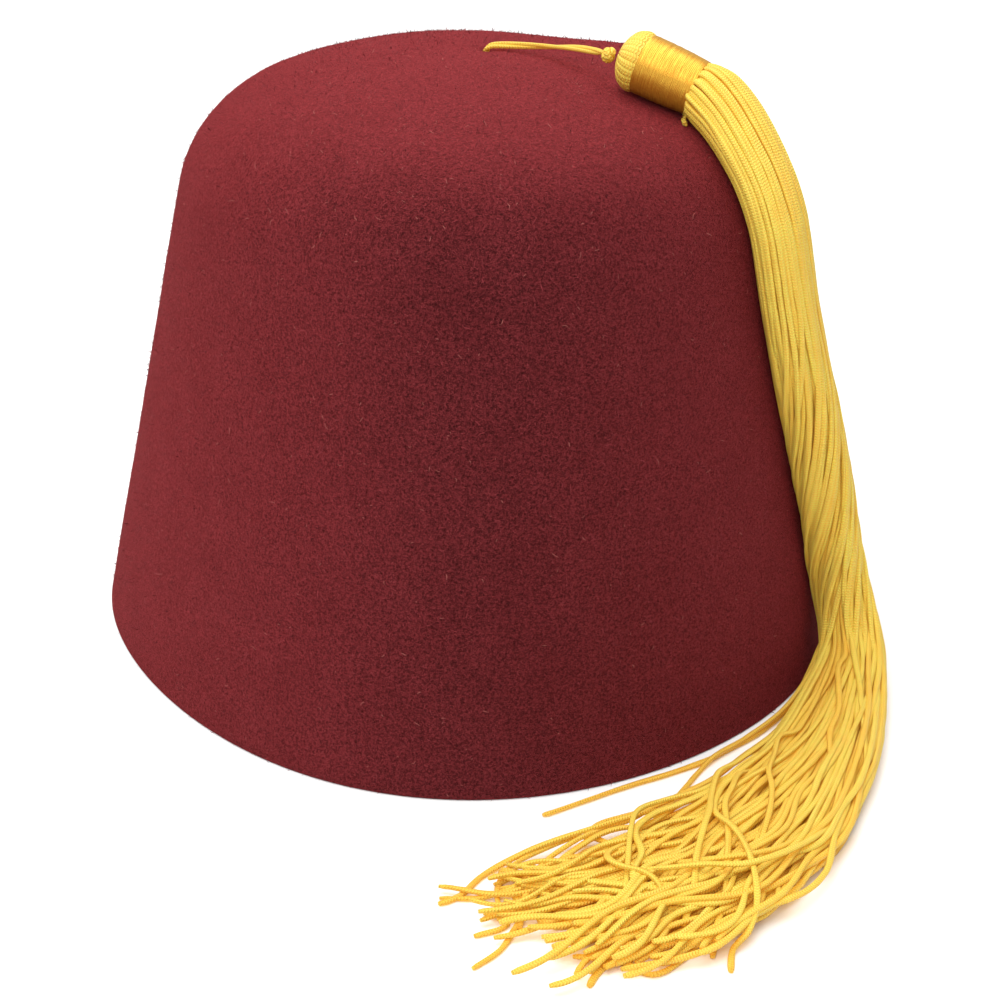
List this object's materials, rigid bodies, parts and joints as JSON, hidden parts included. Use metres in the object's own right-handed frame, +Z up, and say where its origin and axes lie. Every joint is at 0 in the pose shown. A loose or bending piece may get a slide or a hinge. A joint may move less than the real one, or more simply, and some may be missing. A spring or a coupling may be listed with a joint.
{
  "type": "fez hat",
  "caption": "Hollow blocked felt hat, oval and narrowing upwards to a softly domed crown, with a cord from the crown's middle to a long tassel that spreads over the surface beside it.",
  "frame": {"origin": "middle of the head opening, in the plane of the rim that the hat stands on", "axes": "+Z up through the crown, -Y the wearer's front, +X the side on which the tassel hangs"},
  "size_m": [0.1856, 0.2615, 0.1448],
  "materials": {
    "felt": "dark red blocked wool felt, matt with a short nap",
    "chainette": "golden yellow rayon chainette, ribbed, soft satin",
    "floss": "golden yellow rayon floss, wound close, satin"
  },
  "bodies": {
    "root": {"felt_crown": "felt", "hanging_cord": "chainette", "inner_knot": "chainette", "cord_knot": "chainette", "tassel_head": "chainette", "head_wrap": "floss", "tassel_skirt": "chainette"}
  },
  "joints": []
}
